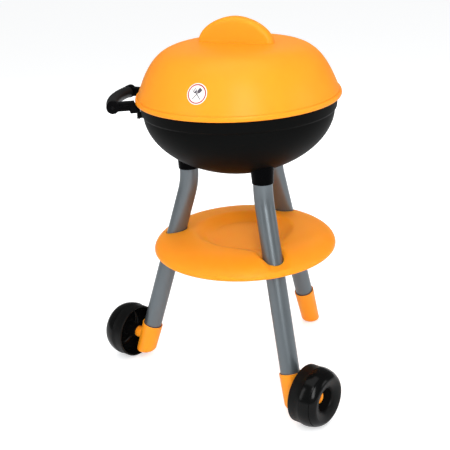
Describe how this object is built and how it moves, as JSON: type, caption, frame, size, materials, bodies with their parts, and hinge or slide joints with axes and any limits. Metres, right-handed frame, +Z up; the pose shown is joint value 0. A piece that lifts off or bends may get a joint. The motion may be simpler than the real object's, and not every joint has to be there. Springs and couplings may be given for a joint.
{
  "type": "toy barbecue grill",
  "caption": "Toy kettle barbecue with a domed lift-off lid, lift-out grate, splayed tube legs through a dished shelf, handle and rolling wheels.",
  "frame": {"origin": "on the ground, under the middle of the whole object's bounding box", "axes": "+Z up, +X along the two wheels' shared axle line towards the right wheel, +Y away from the wheels towards the plain foot"},
  "size_m": [0.503, 0.412, 0.673],
  "materials": {
    "lid_plastic": "orange moulded plastic, satin with soft moulding ripples",
    "shelf_plastic": "orange moulded plastic, satin",
    "cap_plastic": "orange moulded plastic, satin",
    "bowl_plastic": "black moulded plastic, matte",
    "grate_plastic": "black moulded plastic, matte",
    "socket_plastic": "black moulded plastic, glossy",
    "wheel_plastic": "black moulded plastic, semi-gloss",
    "arm_plastic": "black moulded plastic, semi-gloss",
    "grip_plastic": "black moulded plastic, satin",
    "leg_tube": "grey powder coat, satin",
    "screw_steel": "zinc-plated steel"
  },
  "bodies": {
    "base": {"bowl": "bowl_plastic", "leg_socket_right": "socket_plastic", "leg_socket_left": "socket_plastic", "leg_socket_plain": "socket_plastic", "leg_right": "leg_tube", "leg_left": "leg_tube", "leg_plain": "leg_tube", "shelf": "shelf_plastic", "foot_cap_right": "cap_plastic", "foot_cap_left": "cap_plastic", "foot_cap_plain": "cap_plastic", "handle_grip": "grip_plastic", "handle_arm_near": "arm_plastic", "handle_arm_far": "arm_plastic", "grip_screw_near": "screw_steel", "grip_screw_far": "screw_steel", "arm_screw_near": "screw_steel", "arm_screw_far": "screw_steel", "socket_screw_right": "screw_steel", "socket_screw_left": "screw_steel", "socket_screw_plain": "screw_steel"},
    "grate": {"grate": "grate_plastic"},
    "lid": {"lid": "lid_plastic"},
    "wheel_right": {"wheel_right": "wheel_plastic"},
    "wheel_left": {"wheel_left": "wheel_plastic"}
  },
  "joints": [
    {"name": "grate_lift", "type": "slide", "parent": "base", "child": "grate", "axis": [0, 0, 1], "range_m": [0, 0.035]},
    {"name": "lid_lift", "type": "slide", "parent": "base", "child": "lid", "axis": [0, 0, 1], "range_m": [0, 0.15]},
    {"name": "wheel_right_spin", "type": "hinge", "parent": "base", "child": "wheel_right", "pos_m": [0.226, -0.1279, 0.0528], "axis": [1, 0, 0], "continuous": true},
    {"name": "wheel_left_spin", "type": "hinge", "parent": "base", "child": "wheel_left", "pos_m": [-0.226, -0.1279, 0.0528], "axis": [1, 0, 0], "continuous": true}
  ]
}
